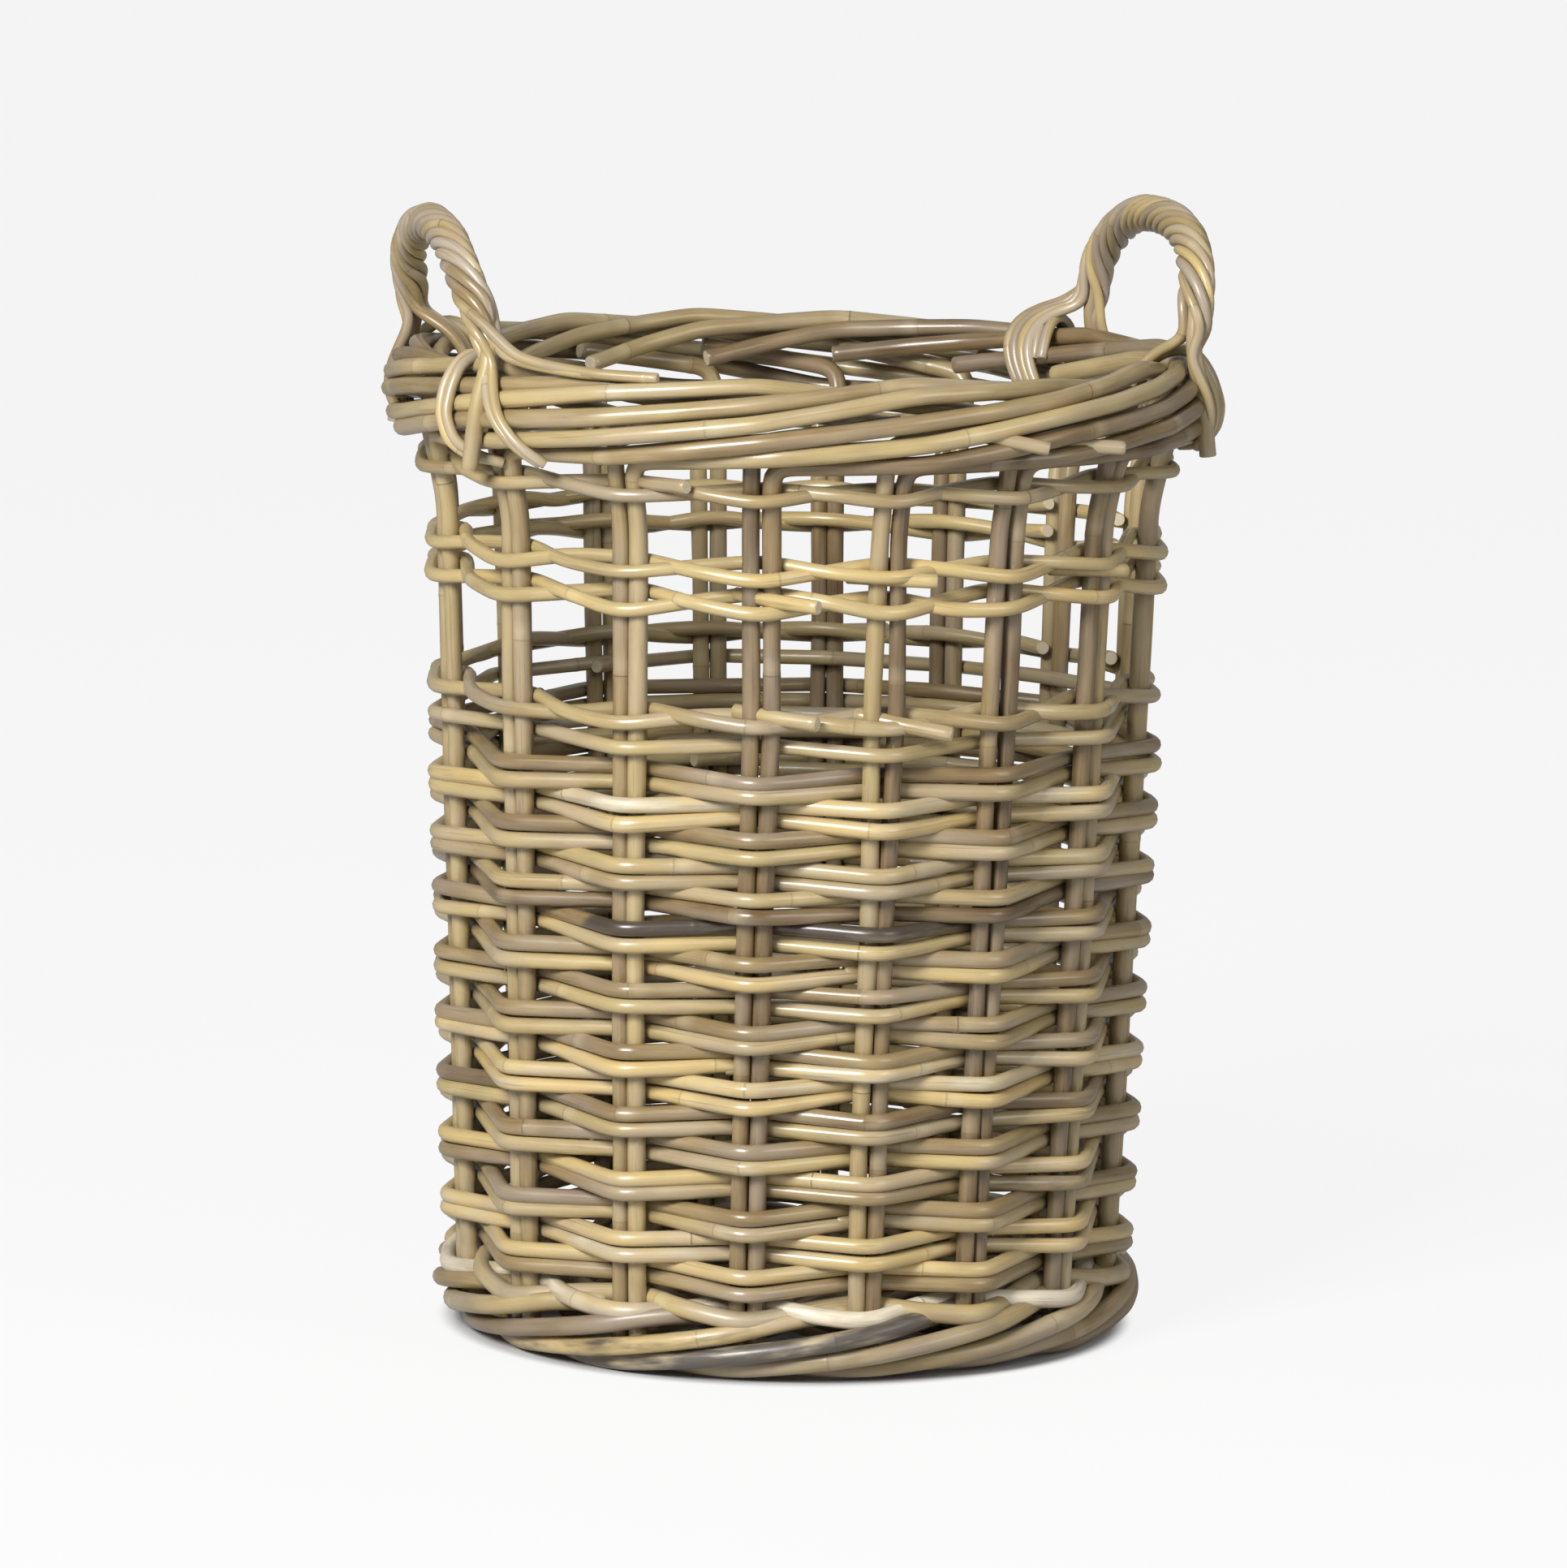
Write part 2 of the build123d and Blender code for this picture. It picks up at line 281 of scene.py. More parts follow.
def piece(name, rods, finish, nodes):
    """One object from several rods: their arrays end to end, with the face numbers moved up to match."""
    starts = np.cumsum([0] + [len(r["points"]) for r in rods])
    faces = []
    for r, start in zip(rods, starts):
        faces += (r["quads"] + start).tolist() + (r["triangles"] + start).tolist()
    mesh = bpy.data.meshes.new(name)
    mesh.from_pydata(np.concatenate([r["points"] for r in rods]), [], faces)
    for fact in ("tone", "dark", "ring", "shoulder", "cut"):
        values = np.concatenate([r[fact] for r in rods]).astype(np.float32)
        mesh.attributes.new(fact, "FLOAT", "POINT").data.foreach_set("value", values)
    grain = np.concatenate([r["grain"] for r in rods]).astype(np.float32)
    mesh.attributes.new("grain", "FLOAT_VECTOR", "POINT").data.foreach_set("vector", grain.ravel())
    mesh.polygons.foreach_set("use_smooth", np.ones(len(mesh.polygons), bool))
    mesh.materials.append(finish)
    made = bpy.data.objects.new(name, mesh)
    bpy.context.scene.collection.objects.link(made)
    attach(made, "root")
    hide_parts(*nodes)
    triangle_count.append(2 * sum(len(r["quads"]) for r in rods) + sum(len(r["triangles"]) for r in rods))
    return made


triangle_count = []

# %% [markdown]
# ## Shader maths in plain Python
# A finish is a graph of nodes. `Wire` wraps a socket so that an expression such as `mask * 0.5` adds the
# Math nodes by itself, and `Finish.node` adds any other node.


# %% Wires and finishes
class Wire:
    """A socket's value in an expression."""

    def __init__(self, finish, socket):
        self.finish = finish
        self.socket = socket

    def math(self, operation, a, b):
        return self.finish.node("ShaderNodeMath", {"operation": operation}, {0: a, 1: b})

    def __add__(self, other):
        return self.math("ADD", self, other)

    def __sub__(self, other):
        return self.math("SUBTRACT", self, other)

    def __mul__(self, other):
        return self.math("MULTIPLY", self, other)


class Finish:
    """A material while it is being wired."""

    def __init__(self, name):
        self.material = bpy.data.materials.new(name)
        self.material.use_nodes = True
        self.tree = self.material.node_tree
        self.shader = self.tree.nodes["Principled BSDF"]

    def node(self, kind, settings, inputs, output=0):
        """Adds a node: its settings first, then its sockets' values or links. Gives one of its outputs."""
        made = self.tree.nodes.new(kind)
        for key, value in settings.items():
            if key == "stops":
                ramp = made.color_ramp.elements
                while len(ramp) < len(value):
                    ramp.new(1.0)
                for element, (place, colour) in zip(ramp, value):
                    element.position = place
                    element.color = (*colour, 1)
            else:
                setattr(made, key, value)
        for key, value in inputs.items():
            self.feed(made.inputs[key], value)
        return Wire(self, made.outputs[output])

    def feed(self, socket, value):
        if isinstance(value, Wire):
            self.tree.links.new(value.socket, socket)
        else:
            socket.default_value = value

    def fact(self, name, output=2):
        """An attribute of the piece: output 2 is its number, 1 its vector."""
        return self.node("ShaderNodeAttribute", {"attribute_name": name}, {}, output)

    def noise(self, place, per_metre, detail=3.0):
        """Noise from 0 to 1 at a place, with its own number of features per metre along each axis."""
        scaled = self.node("ShaderNodeVectorMath", {"operation": "MULTIPLY"}, {0: place, 1: per_metre})
        return self.node("ShaderNodeTexNoise", {}, {"Vector": scaled, "Scale": 1.0, "Detail": detail})

    def mask(self, value, low, high):
        """0 below low, 1 above high, and smooth between."""
        return self.node("ShaderNodeMapRange", {"interpolation_type": "SMOOTHSTEP"},
                         {"Value": value, "From Min": low, "From Max": high})

    def blend(self, share, a, b):
        """Colour a turned into b by a share from 0 to 1."""
        settings = {"data_type": "RGBA", "clamp_factor": True}
        return self.node("ShaderNodeMix", settings, {0: share, 6: a, 7: b}, 2)


# %% [markdown]
# ## The cane's finish
# Unbleached cane has a glassy skin over straight fibres. Its colour drifts along each rod between olive,
# straw, gold, grey and brown, with short dark fibre streaks, a dark line at each node and weathered
# patches. Every pattern reads the rod's own place (across, across, along), so it follows the rod round each
# bend. The cut ends show pale pith with pores. One function makes all the finishes, because they differ
# only in their mix of tones.

# %% Cane finish
CANE_TONES = [(0.00, (0.085, 0.052, 0.024)), (0.22, (0.200, 0.138, 0.062)), (0.42, (0.305, 0.230, 0.108)),
              (0.60, (0.390, 0.302, 0.142)), (0.76, (0.480, 0.350, 0.145)), (0.90, (0.450, 0.380, 0.245)),
              (1.00, (0.640, 0.570, 0.430))]
PITH = (0.560, 0.480, 0.340, 1)
CHARCOAL = (0.034, 0.026, 0.022, 1)
RING_BROWN = (0.090, 0.055, 0.028, 1)
GREY_CAST = (0.330, 0.278, 0.222, 1)


def cane(name, tone_shift=0.0, grey=0.35, roughness=0.33, weather=0.5):
    """Rattan: a ramp of tones read by the rod's tone plus slow noise, under streaks, rings and stains."""
    f = Finish(name)
    grain = f.fact("grain", 1)
    tone = f.fact("tone")
    ring = f.fact("ring")
    shoulder = f.fact("shoulder")
    cut = f.fact("cut")
    dark = f.fact("dark")
    drift = f.noise(grain, (25, 25, 5.5), 2.0)
    patches = f.noise(grain, (170, 170, 38), 3.0)
    streaks = f.noise(grain, (620, 620, 16), 3.0)
    fibres = f.noise(grain, (1500, 1500, 45), 2.0)
    place = tone + tone_shift + (drift - 0.5) * 0.62 + (patches - 0.5) * 0.34 + (streaks - 0.5) * 0.30
    colour = f.node("ShaderNodeValToRGB", {"stops": CANE_TONES}, {0: place})
    greyness = f.mask(f.noise(grain, (30, 30, 9), 2.0), 0.42, 0.64) * grey
    colour = f.blend(greyness, colour, GREY_CAST)
    colour = f.blend(f.mask(streaks, 0.56, 0.74) * 0.42, colour, RING_BROWN)
    colour = f.blend(shoulder * 0.16, colour, (0.66, 0.57, 0.38, 1))
    colour = f.blend(f.mask(ring, 0.35, 0.9) * 0.75, colour, RING_BROWN)
    spots = f.noise(grain, (60, 60, 24), 4.0)
    stain = f.mask(spots, 0.61 - 0.16 * weather, 0.74 - 0.1 * weather) * 0.35 * weather
    soot = f.mask(dark + (patches - 0.5) * 0.9 + (drift - 0.5) * 1.1, 0.42, 0.78) * 0.9
    colour = f.blend(stain, colour, (0.150, 0.105, 0.062, 1))
    colour = f.blend(soot, colour, CHARCOAL)
    pores = f.mask(f.noise(grain, (2600, 2600, 40), 1.0), 0.52, 0.62)
    end = f.blend(pores * 0.55, PITH, (0.21, 0.15, 0.09, 1))
    colour = f.blend(cut, colour, end)
    f.feed(f.shader.inputs["Base Color"], colour)
    uneven = (patches - 0.5) * 0.25 + (streaks - 0.5) * 0.2
    f.feed(f.shader.inputs["Roughness"], uneven + cut * 0.4 + roughness)
    height = streaks * 0.5 + fibres * 0.22 + patches * 0.35
    bump = f.node("ShaderNodeBump", {}, {"Strength": 0.5, "Distance": 0.35 * MM, "Height": height})
    f.feed(f.shader.inputs["Normal"], bump)
    f.shader.inputs["Coat Weight"].default_value = 0.25
    f.shader.inputs["Coat Roughness"].default_value = 0.22
    return f.material


STAKE_CANE = cane("stake_cane", -0.07, 0.32)
WEAVER_CANE = cane("weaver_cane", 0.0, 0.46)
GOLDEN_CANE = cane("golden_cane", 0.18, 0.10, 0.30, 0.2)
FOOT_CANE = cane("foot_cane", -0.02, 0.55, 0.45, 1.0)
BASE_CANE = cane("base_cane", -0.20, 0.30, 0.50, 0.6)
EAR_CANE = cane("ear_cane", 0.02, 0.88, 0.36, 0.4)
print(len(bpy.data.materials), "materials")

# %% [markdown]
# ## Stakes and the rolled border
# Sixteen pairs stand round the basket. At the top each rod turns over and runs round in the border. A
# pair's leader goes out, up, over the top and in, where it is cut off, and the other rod fills the core. So
# a stake and its share of the border are one rod, as they are here. The border could be a torus with a rope
# texture, but its cut ends and the gaps under it are what make it look rolled.

# %% Stakes and border
LEADER_TURN = 485 * MM
FOLLOWER_TURN = 497 * MM
# Radius and height of each place in the border's section.
LEADER_ROLL = np.array([(214.5, 488.5), (219.5, 498.5), (219.5, 509), (214.5, 519.5), (205, 526.5),
                        (193.5, 518.5), (182, 506)]) * MM
FOLLOWER_ROLL = np.array([(207, 509)]) * MM
EVEN_AFTER = 3
ROD_SWAY = 1.4 * MM
PAIR_GAP = 0.15 * MM
STAKE_FOOT = 12 * MM


def stake_rod(i, side, turn, roll, rng, tone):
    """A stake and its roll: up beside its twin to the turn, then one border place for each pitch round."""
    heights = np.array([STAKE_FOOT, 0.12, 0.24, 0.36, SPREAD_FROM])
    beside = np.degrees(side * (STAKE_R + PAIR_GAP) / stake_circle(heights))
    sway = rng.normal(0, 0.25, len(heights)) * [1, 1, 1, 1, 0.6]
    upright = polar(stake_circle(heights), stake_angle(i, heights) + beside + sway, heights)
    places = np.concatenate([[(stake_circle(turn), turn)], roll + rng.normal(0, ROD_SWAY, roll.shape)])
    step = np.arange(2 * len(roll) + 1) / 2
    radius, height = (np.interp(step, np.arange(len(places)), places[:, axis]) for axis in (0, 1))
    angle = stake_angle(i, turn) + beside[-1] + PITCH * step - drift(i) * np.minimum(1, step / EVEN_AFTER)
    path = np.concatenate([upright, polar(radius, angle, height)])
    return rod(path, STAKE_R * rng.uniform(0.97, 1.06), rng, 0.034, tone=tone)


for i in range(STAKE_PAIRS):
    rng = np.random.default_rng(100 + i)
    node = f"stake_pair_{i + 1:02d}"
    tones = rng.uniform(0.15, 0.62, 2)
    piece(f"cane_{node}", [stake_rod(i, 1, LEADER_TURN, LEADER_ROLL, rng, tones[0]),
                           stake_rod(i, -1, FOLLOWER_TURN, FOLLOWER_ROLL, rng, tones[1])],
          STAKE_CANE, [node])
print("stakes:", sum(triangle_count), "triangles so far")

# %% [markdown]
# ## Side weave
# Two weavers lie one on the other and pass in front of one pair of stakes and behind the next. They are
# stiff, so they run straight between stakes and bend at them. A join is two cut ends that overlap behind a
# pair.

# %% Slewed rows
FRONT_REACH = 1.4 * MM
BACK_REACH = 0.9 * MM
ROW_WINDOW = 0.026
ROW_NOISE = 0.8 * MM
SAG = 1.2 * MM
FLAT_HALF = 3.0 * MM
# A join: degrees that each end runs past its stakes, how far out the first lies and how far in the last.
OVERLAP = 4.6
START_OUT = 1.5 * MM
END_IN = 5 * MM


def slewed(z, front_of, first, radius, rng, tone):
    """A weaver once round: outside every second pair and inside the others, a little lower outside."""
    i = first + np.arange(STAKE_PAIRS + 1)
    outside = i % 2 == front_of
    touch = STAKE_R + radius
    reach = np.where(outside, touch + FRONT_REACH, -touch - BACK_REACH)
    height = z + np.where(outside, -SAG, SAG) + rng.normal(0, ROW_NOISE, len(i))
    angle = stake_angle(i % STAKE_PAIRS, z) + 360 * (i // STAKE_PAIRS)
    circle = stake_circle(z)
    flat = np.degrees(FLAT_HALF / circle)
    corners = [polar(circle + reach, angle + side * flat, height) for side in (-1, 1)]
    corners = np.stack(corners, axis=1).reshape(-1, 3)[1:-1]
    start = polar(circle + reach[0] + START_OUT, angle[0] - OVERLAP, height[0])
    end = polar(circle + reach[-1] - END_IN, angle[-1] + OVERLAP, height[-1])
    path = np.concatenate([start[None], corners, end[None]])
    return rod(path, radius, rng, ROW_WINDOW, tone=tone)


# Charcoal stretches of a row: which weaver, how dark, the middle and half the width in degrees.
BURNT = {11: [(1, 0.75, -103, 36)], 3: [(0, 0.45, -60, 16)], 7: [(1, 0.4, -140, 14)]}

for k, node in enumerate(ROWS):
    rng = np.random.default_rng(300 + k)
    radii = WEAVER_R * rng.uniform(1.02, 1.11, 2)
    z = middle(node) + rng.normal(0, 0.6 * MM)
    tones = rng.uniform(0.12, 0.86, 2)
    front_of = (k + 1) % 2
    first = (front_of + 1) % 2 + 2 * (3 * k % 8)
    rods = [slewed(z - radii[0], front_of, first, radii[0], rng, tones[0]),
            slewed(z + radii[1], front_of, first + 6, radii[1], rng, tones[1])]
    for upper, amount, centre, half in BURNT.get(k, []):
        darkened(rods[upper], amount, centre, half)
    piece(f"cane_{node}", rods, WEAVER_CANE, [node])
rng = np.random.default_rng(360)
piece("cane_single_row", [slewed(middle("weave_single_row"), 0, 5, WEAVER_R, rng, 0.55)], WEAVER_CANE,
      ["weave_single_row"])
print("rows:", sum(triangle_count), "triangles so far")

# %% [markdown]
# ## Pairing
# Where the weave has to hold by itself, two strands cross between the stakes: as one goes in, the other
# comes out. These are the wavy lines at the top of the weave, between the open bands and under the border.


# %% Pairing rows
def paired(z, front_of, radius, rng, tone, wave):
    """A pairing strand: outside and low at one pair, inside and high at the next.

    Half way between pairs the strand that comes out passes outside the one that goes in.
    """
    n = np.arange(2 * STAKE_PAIRS + 1)
    i = 1 - front_of + n // 2
    half = n % 2
    here = stake_angle(i % STAKE_PAIRS, z) + 360 * (i // STAKE_PAIRS)
    after = stake_angle((i + 1) % STAKE_PAIRS, z) + 360 * ((i + 1) // STAKE_PAIRS)
    outside = i % 2 == front_of
    touch = STAKE_R + radius
    at_pair = np.where(outside, touch + 1.5 * MM, -touch - 1.0 * MM)
    reach = np.where(half, np.where(outside, -radius, radius), at_pair)
    rise = np.where(half, 0, np.where(outside, -wave, wave)) + rng.normal(0, 0.25 * wave, len(n))
    path = polar(stake_circle(z) + reach, here + half * (after - here) / 2, z + rise)
    return rod(path[:-1], radius, rng, 0.045, tone=tone)


def loose_end(angle, z, spread, fall, radius, rng, tone):
    """The last 50 mm of a rod, which comes out between the others and ends outside the stakes by spread."""
    share = np.array([0, 0.5, 1])
    out = stake_circle(z) + (-7 * MM + share * (spread + 7 * MM))
    return rod(polar(out, angle + 13 * share, z - fall * share), radius, rng, 0.02, tone=tone)


def pairing(node, radius, seed, tones, finish, wave, ends=()):
    rng = np.random.default_rng(seed)
    z = middle(node)
    rods = [paired(z, front, radius * rng.uniform(0.95, 1.04), rng, tones[front], wave) for front in (0, 1)]
    rods += [loose_end(angle, z + up * MM, spread * MM, fall * MM, radius, rng, tones[0])
             for angle, up, spread, fall in ends]
    return piece(f"cane_{node}", rods, finish, [node])


pairing("pairing_top_of_weave", 4.2 * MM, 400, (0.50, 0.42), WEAVER_CANE, 3.6 * MM,
        ends=[(-93, 3, 19, 8), (-113, 4, 14, 3), (60, 3, 13, 5)])
pairing("pairing_middle_lower", 3.9 * MM, 401, (0.50, 0.44), GOLDEN_CANE, 4.8 * MM,
        ends=[(-113, 4, 20, 3), (110, 3, 14, 2)])
pairing("pairing_middle_upper", 3.7 * MM, 402, (0.42, 0.48), GOLDEN_CANE, 4.2 * MM,
        ends=[(-95, -3, 12, 1), (-57, -4, 12, 3), (35, 2, 13, 2)])
pairing("pairing_under_border", 3.8 * MM, 403, (0.40, 0.45), WEAVER_CANE, 3.2 * MM,
        ends=[(-132, 4, 12, 0), (-82, 36, 26, 11), (-68, 26, 24, 4)])
pairing("upsett_row", 5.1 * MM, 404, (1.0, 0.60), FOOT_CANE, 4.0 * MM)
print("pairing:", sum(triangle_count), "triangles so far")

# %% [markdown]
# ## Base and foot
# Four sticks go through four, and open out like a star to the sixteen pairs. Rings of thinner cane are
# woven over and under them. Short rods then roll round the edge and make the foot that the basket stands
# on.

# %% Base
BASE_STICK_R = 5 * MM
BASE_WEAVER_R = 3 * MM
BASE_Z = 24 * MM
FAN_FROM = 60 * MM
BASE_EDGE = 163 * MM
SLATH_HALF = 30 * MM
RING_START = 73 * MM
RING_PITCH = 10 * MM
RINGS = 9
UP = np.array([0.0, 0.0, 1.0])


def base_stick(which, across_set, rng):
    """A stick: parallel to its set's others where the sets cross, then out along two of the directions."""
    lane = (which - 1.5) * (2 * BASE_STICK_R + 1 * MM)
    quarter = 90 * across_set + PITCH / 2
    z = BASE_Z + (BASE_STICK_R + 0.15 * MM) * (1 if across_set else -1)
    fan = (which - 1.5) * PITCH
    ends = polar(np.array([BASE_EDGE, FAN_FROM]), quarter + fan, BASE_Z)
    others = polar(np.array([FAN_FROM, BASE_EDGE]), quarter + 180 - fan, BASE_Z)
    turn = np.radians(quarter)
    half = np.array([SLATH_HALF, -SLATH_HALF])
    x = half * np.cos(turn) - lane * np.sin(turn)
    y = half * np.sin(turn) + lane * np.cos(turn)
    path = np.concatenate([ends, np.stack([x, y, np.full(2, z)], axis=1), others])
    return rod(path, BASE_STICK_R, rng, 0.02, UP, rng.uniform(0.25, 0.5))


def base_ring(k, rng):
    """A ring of the base: over one stick end and under the next, steeper where the ring is small."""
    radius = RING_START + RING_PITCH * k
    touch = BASE_STICK_R + BASE_WEAVER_R + 0.3 * MM
    lift = touch / np.sqrt(1 - (2 * touch / (radius * np.radians(PITCH))) ** 2) + 0.2 * MM
    n = np.arange(STAKE_PAIRS + 1)
    height = BASE_Z + np.where((n + k) % 2, lift, -lift)
    path = polar(radius, PITCH * n + 0.2 * (n == 0) - 0.2 * (n == STAKE_PAIRS), height)
    return rod(path, BASE_WEAVER_R, rng, 0.012, tone=rng.uniform(0.25, 0.6))


rng = np.random.default_rng(500)
for across_set, node in ((0, "base_sticks_lower"), (1, "base_sticks_upper")):
    sticks = [base_stick(n, across_set, rng) for n in range(4)]
    piece(f"cane_{node}", sticks, BASE_CANE, [node])
rings = [base_ring(k, rng) for k in range(RINGS)]
piece("cane_base_weave", rings, BASE_CANE, ["base_weave"])

# %% [markdown]
# ## Foot
# Sixteen short rods start under the base, roll round its edge one after another and go in again above
# it. A ring with a twisted texture would be quicker, but its underside and its shadows would be smooth.

# %% Foot
FOOT_ROD_R = 5.2 * MM
FOOT_RODS = 16
# Steps round, radius, height: from under the base, over the outside, and in again between two pairs.
FOOT_STEPS = np.array([0, 1, 2, 3, 3.5, 3.9])
FOOT_ROLL = np.array([(160, 8), (174.5, 5.8), (185.5, 14), (188.5, 27), (179, 34), (169, 35)]) * MM
FOOT_DARK = {8: 0.55, 9: 0.72, 12: 0.45, 4: 0.45, 14: 0.35}


def foot_rod(n, rng):
    """A rod from under the base round the edge, up outside and in: one place of the roll for each step."""
    radius = FOOT_ROD_R * rng.uniform(0.9, 1.12)
    places = FOOT_ROLL + rng.normal(0, 0.9 * MM, FOOT_ROLL.shape)
    step = np.linspace(0, FOOT_STEPS[-1], 16)
    reach, height = (np.interp(step, FOOT_STEPS, places[:, axis]) for axis in (0, 1))
    path = polar(reach, 360 / FOOT_RODS * (n + step), np.maximum(height, radius * 1.02))
    return rod(path, radius, rng, 0.04, tone=rng.uniform(0.15, 1.0), dark=FOOT_DARK.get(n, 0))


for half, node in enumerate(("foot_border_a", "foot_border_b")):
    rng = np.random.default_rng(520 + half)
    rods = [foot_rod(n, rng) for n in range(half, FOOT_RODS, 2)]
    piece(f"cane_{node}", rods, FOOT_CANE, [node])
print("base and foot:", sum(triangle_count), "triangles so far")

# %% [markdown]
# ## Ears
# A bow of thick cane stands at each side, and seven strands are roped round it to the left. At the bow's
# feet the rope comes apart: some strands run down outside the border, others go over it and inside. A roped
# handle could be a tube with a spiral bump, but its outline is what the eye reads, so each strand is a rod
# that winds round the bow.

# %% Ears
EAR_HALF_ANGLE = 27.5
EAR_LEG = 225 * MM
BOW_R = 4.5 * MM
STRAND_R = 2.95 * MM
STRANDS = 7
TWIST_LENGTH = 88 * MM
ROPE_FROM = 0.541
# Half of each bow: share of its half width, height, how far in from the legs' circle. The left is pointed.
EAR_SIDE = {"right": np.array([(1.0, 476, 0), (1.0, 512, 4), (0.99, 530, 9), (0.98, 546, 9),
                               (0.97, 558, 7.5), (0.93, 568, 6), (0.85, 577, 4), (0.62, 590, 1),
                               (0.30, 597, 0), (0, 598, 0)]),
            "left": np.array([(1.0, 476, 0), (1.0, 512, 4), (1.0, 530, 10), (0.98, 541, 11),
                              (0.93, 550, 9), (0.87, 559, 6), (0.80, 568, 2.5), (0.69, 578, 1),
                              (0.43, 591, 0), (0, 597, -0.5)])}
# A strand once it has left the rope: radius, height, share of the degrees that it runs round.
TAILS = {"outside": [(214.5, 533, 0.1), (221.5, 519, 0.3), (227.2, 504, 0.6), (225, 490, 1),
                     (217, 482, 1.3)],
         "inside": [(212, 541, 0.35), (205, 537.5, 0.7), (194, 532, 0.95), (184.5, 522, 1),
                    (181, 509, 0.85), (182, 497, 0.6)],
         "along": [(217, 536, 0.4), (213.5, 532.5, 0.8), (212.5, 530, 1.4), (210, 529.5, 2.1)]}
# How many of the bow's points before its foot a strand leaves the rope.
EARLY = {"outside": 2, "inside": 12, "along": 8}
# For each ear and leg, from the outermost strand to the innermost: how they leave, how many, degrees round.
LEAVING = {"right": ([("outside", 3, 0), ("inside", 4, 8)],
                     [("outside", 4, 1.5), ("inside", 3, 2)]),
           "left": ([("outside", 2, 9), ("along", 3, 13), ("inside", 2, 1)],
                    [("outside", 4, 0), ("inside", 3, 1)])}


def ear_bow(angle, shape):
    """The bow's middle line: up from one leg, over and down the other."""
    half_width = EAR_LEG * np.sin(np.radians(EAR_HALF_ANGLE))
    reach = EAR_LEG * np.cos(np.radians(EAR_HALF_ANGLE))
    side = np.stack([reach - shape[:, 2] * MM, shape[:, 0] * half_width, shape[:, 1] * MM], axis=1)
    loop = np.concatenate([side, side[-2::-1] * [1, -1, 1]])
    turn = np.radians(angle)
    spin = np.array([[np.cos(turn), np.sin(turn), 0], [-np.sin(turn), np.cos(turn), 0], [0, 0, 1]])
    return soften(loop @ spin, 0.035)


def tail(kind, leg, degrees_round, place):
    """A strand's way from the rope's end: place is its number from the middle of the strands beside it."""
    radius, height, share = np.array(TAILS[kind]).T
    beside = place * 1.5 * (1 - 0.35 * share if kind == "outside" else 1)
    return polar(radius * MM, leg + share * degrees_round + beside, height * MM)


def rope(bow, outward, legs, leaving, rng):
    """The strands round the bow: its points plus a circle that turns once to the left per TWIST_LENGTH."""
    along = lengths(bow)
    tangent = unit(np.gradient(bow, along, axis=0))
    side = unit(outward - (outward * tangent).sum(1, keepdims=True) * tangent)
    up = np.cross(tangent, side)
    starts = 2 * np.pi * np.arange(STRANDS) / STRANDS
    angle = starts[:, None] - 2 * np.pi * along / TWIST_LENGTH
    away = BOW_R + STRAND_R * 1.08
    wound = bow + away * (np.cos(angle)[..., None] * side + np.sin(angle)[..., None] * up)
    tails = [[None, None] for strand in range(STRANDS)]
    leave = np.zeros((STRANDS, 2), int)
    for end, where, sense in ((0, 0, 1), (1, -1, -1)):
        outermost = np.argsort(-np.cos(angle[:, where]))
        for kind, count, degrees_round in leaving[end]:
            group, outermost = outermost[:count], outermost[count:]
            group = group[np.argsort(sense * np.sin(angle[group, where]))]
            for place, strand in enumerate(group):
                tails[strand][end] = tail(kind, legs[end], degrees_round, place - (count - 1) / 2)
                leave[strand, end] = EARLY[kind]
    tones = rng.uniform(0.28, 0.66, STRANDS)
    return [rod(np.concatenate([before[::-1], wound[n, leave[n, 0]:len(bow) - leave[n, 1]], after]),
                STRAND_R * rng.uniform(0.93, 1.04), rng, 0.03, outward, tones[n], ring_share=0.6)
            for n, (before, after) in enumerate(tails)]


# The lashing over the border beside a leg: radius, height, degrees round.
LASH = np.array([(185, 512, -2.5), (188.5, 523, -2), (196.5, 531, -1), (207, 533.5, 0), (216, 528.5, 0.4),
                 (223, 518, 0.6), (227, 503, 0.8), (224.5, 489, 2.2), (216, 481, 4.5), (205, 479.5, 6.5)])
LASH_R = 2.9 * MM
LASHES = {"right": (4.8, 6.4), "left": (-7.3, -5.7)}

for name, angle in (("right", 0), ("left", 180)):
    rng = np.random.default_rng(600 + angle)
    outward = np.array([np.cos(np.radians(angle)), np.sin(np.radians(angle)), 0])
    bow = ear_bow(angle, EAR_SIDE[name])
    legs = (angle + EAR_HALF_ANGLE, angle - EAR_HALF_ANGLE)
    piece(f"cane_ear_{name}_bow", [rod(bow[::4], BOW_R, rng, 0.01, outward, 0.4)], EAR_CANE,
          [f"ear_{name}_bow"])
    strands = rope(bow[bow[:, 2] > ROPE_FROM], outward, legs, LEAVING[name], rng)
    piece(f"cane_ear_{name}_roping", strands, EAR_CANE, [f"ear_{name}_roping"])
    loops = []
    for leg in legs:
        for beside in LASHES[name]:
            shape = LASH[:, :2] * MM + rng.normal(0, 0.4 * MM, (len(LASH), 2))
            path = polar(shape[:, 0], leg + beside + LASH[:, 2], shape[:, 1])
            loops.append(rod(path, LASH_R, rng, 0.016, tone=rng.uniform(0.4, 0.7), ring_share=0.6))
    piece(f"cane_ear_{name}_lashing", loops, EAR_CANE, [f"ear_{name}_lashing"])
print("whole basket:", sum(triangle_count), "triangles")

# %% [markdown]
# ## Floor and light
# The basket stands on a plain pale floor in a white room. A big soft light from the front left shapes the
# rods, and a weaker one from the right keeps their far sides from going black. A faint one behind edges the
# back of the border.

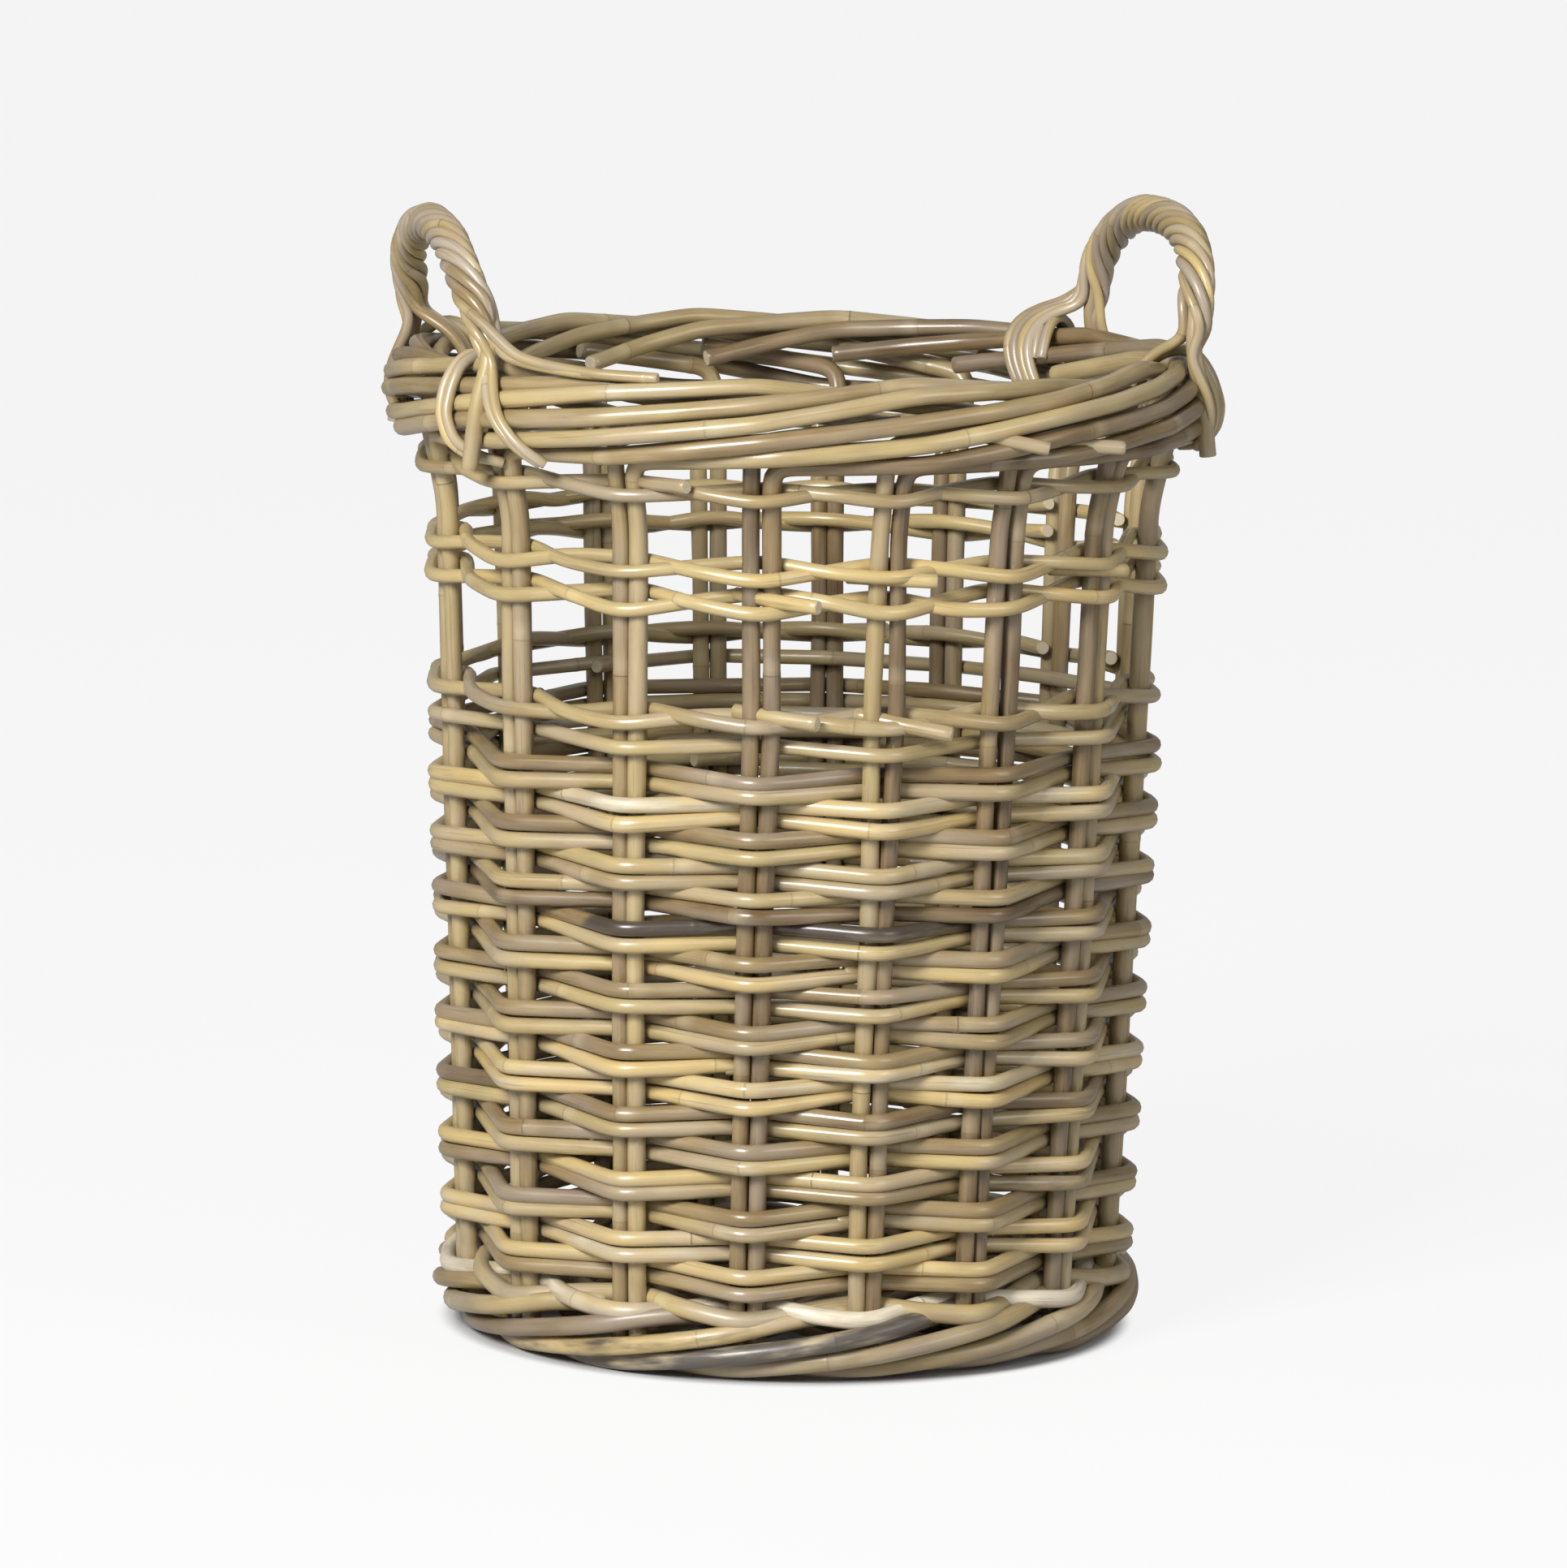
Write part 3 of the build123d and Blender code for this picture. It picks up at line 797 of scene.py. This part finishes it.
# %% Floor
FLOOR_HALF = 30.0
GLOW = 0.88
# Radii at which the painted shade under the basket ends and the floor's glow begins.
PAINTED_SHADE_EDGE = (0.178, 0.190)


def floor_finish():
    """Grey paint with a white glow towards the camera only, so it stays pale and adds no light.

    The glow ends where the foot stands, so the floor under the basket is dark: painted shade, a disc where
    the glow is cut off.
    """
    f = Finish("floor_paint")
    place = f.node("ShaderNodeTexCoord", {}, {}, 3)
    f.feed(f.shader.inputs["Roughness"], f.noise(place, (3, 3, 3)) * 0.1 + 0.75)
    f.shader.inputs["Base Color"].default_value = (0.55, 0.55, 0.55, 1)
    glow = f.node("ShaderNodeEmission", {}, {"Color": (1, 1, 1, 1), "Strength": 1.0})
    seen = f.node("ShaderNodeLightPath", {}, {}, 0)
    from_middle = f.node("ShaderNodeVectorMath", {"operation": "LENGTH"}, {0: place}, 1)
    # Painted shade: the glow is cut off in a disc under the basket, so the floor there is dark.
    glow_outside_painted_shade = f.mask(from_middle, *PAINTED_SHADE_EDGE)
    paint = Wire(f, f.shader.outputs[0])
    mixed = f.node("ShaderNodeMixShader", {}, {0: seen * glow_outside_painted_shade * GLOW, 1: paint, 2: glow})
    f.feed(f.tree.nodes["Material Output"].inputs[0], mixed)
    return f.material


mesh = bpy.data.meshes.new("floor")
mesh.from_pydata([(-FLOOR_HALF, -FLOOR_HALF, 0), (FLOOR_HALF, -FLOOR_HALF, 0), (FLOOR_HALF, FLOOR_HALF, 0),
                  (-FLOOR_HALF, FLOOR_HALF, 0)], [], [(0, 1, 2, 3)])
mesh.materials.append(floor_finish())
floor = bpy.data.objects.new("floor", mesh)
bpy.context.scene.collection.objects.link(floor)


# %% [markdown]
# ## Light
# Three square lights and a white surrounding. Soft ones are used because the rods' highlights are broad.

# %% Light
def soft_light(name, azimuth, height, distance, size, watts):
    """A square light that faces the basket's middle from an azimuth counted from the camera's side."""
    turn = VIEW_TURN + np.radians(azimuth)
    place = Vector((np.cos(turn) * distance, np.sin(turn) * distance, height))
    lamp = bpy.data.lights.new(name, "AREA")
    lamp.shape = "SQUARE"
    lamp.size = size
    lamp.energy = watts
    made = bpy.data.objects.new(name, lamp)
    made.location = place
    made.rotation_euler = (Vector((0, 0, 0.3)) - place).to_track_quat("-Z", "Y").to_euler()
    bpy.context.scene.collection.objects.link(made)
    return made


soft_light("key_light", -30, 2.1, 3.2, 1.2, 192)
soft_light("fill_light", 50, 1.8, 3.4, 1.8, 40)
soft_light("back_light", 165, 2.8, 3.0, 1.6, 4)
world = bpy.data.worlds.new("white_room")
world.use_nodes = True
world.node_tree.nodes["Background"].inputs[0].default_value = (1, 1, 1, 1)
world.node_tree.nodes["Background"].inputs[1].default_value = 0.28
bpy.context.scene.world = world
bpy.context.scene.view_settings.view_transform = "Standard"
